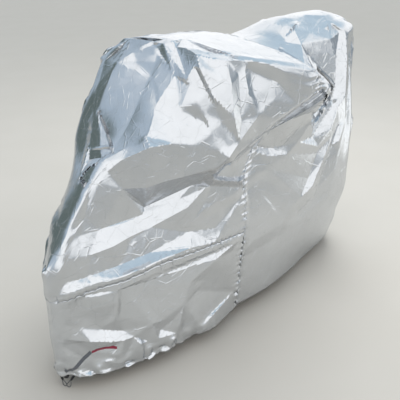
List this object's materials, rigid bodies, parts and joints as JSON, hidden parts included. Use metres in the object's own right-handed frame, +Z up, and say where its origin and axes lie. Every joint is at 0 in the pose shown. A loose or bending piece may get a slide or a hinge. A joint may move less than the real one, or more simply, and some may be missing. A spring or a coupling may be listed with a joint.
{
  "type": "motorcycle cover",
  "caption": "Fitted cover of silver film cloth draped over a parked motorcycle that is left out, with a webbing strap, red tape and wire loops at the front hem.",
  "frame": {"origin": "under the top of the cover at the middle of the handlebar, where what it covers holds it up", "axes": "+X along the length to the rear, -Y the side with the handlebar turned to it, +Z up"},
  "size_m": [1.9613, 0.83, 1.2986],
  "materials": {
    "film": "silver metallised film on thin cloth, creased",
    "webbing": "grey woven webbing",
    "tape": "red woven tape",
    "black": "black moulded",
    "wire": "steel wire in a clear coat"
  },
  "bodies": {
    "root": {"front_panel": "film", "front_skirt": "film", "rear_panel": "film", "hem_strap": "webbing", "red_tape": "tape", "hem_toggle": "black", "loop_sleeve_left": "black", "loop_sleeve_right": "black", "wire_loop_left": "wire", "wire_loop_right": "wire"}
  },
  "joints": []
}
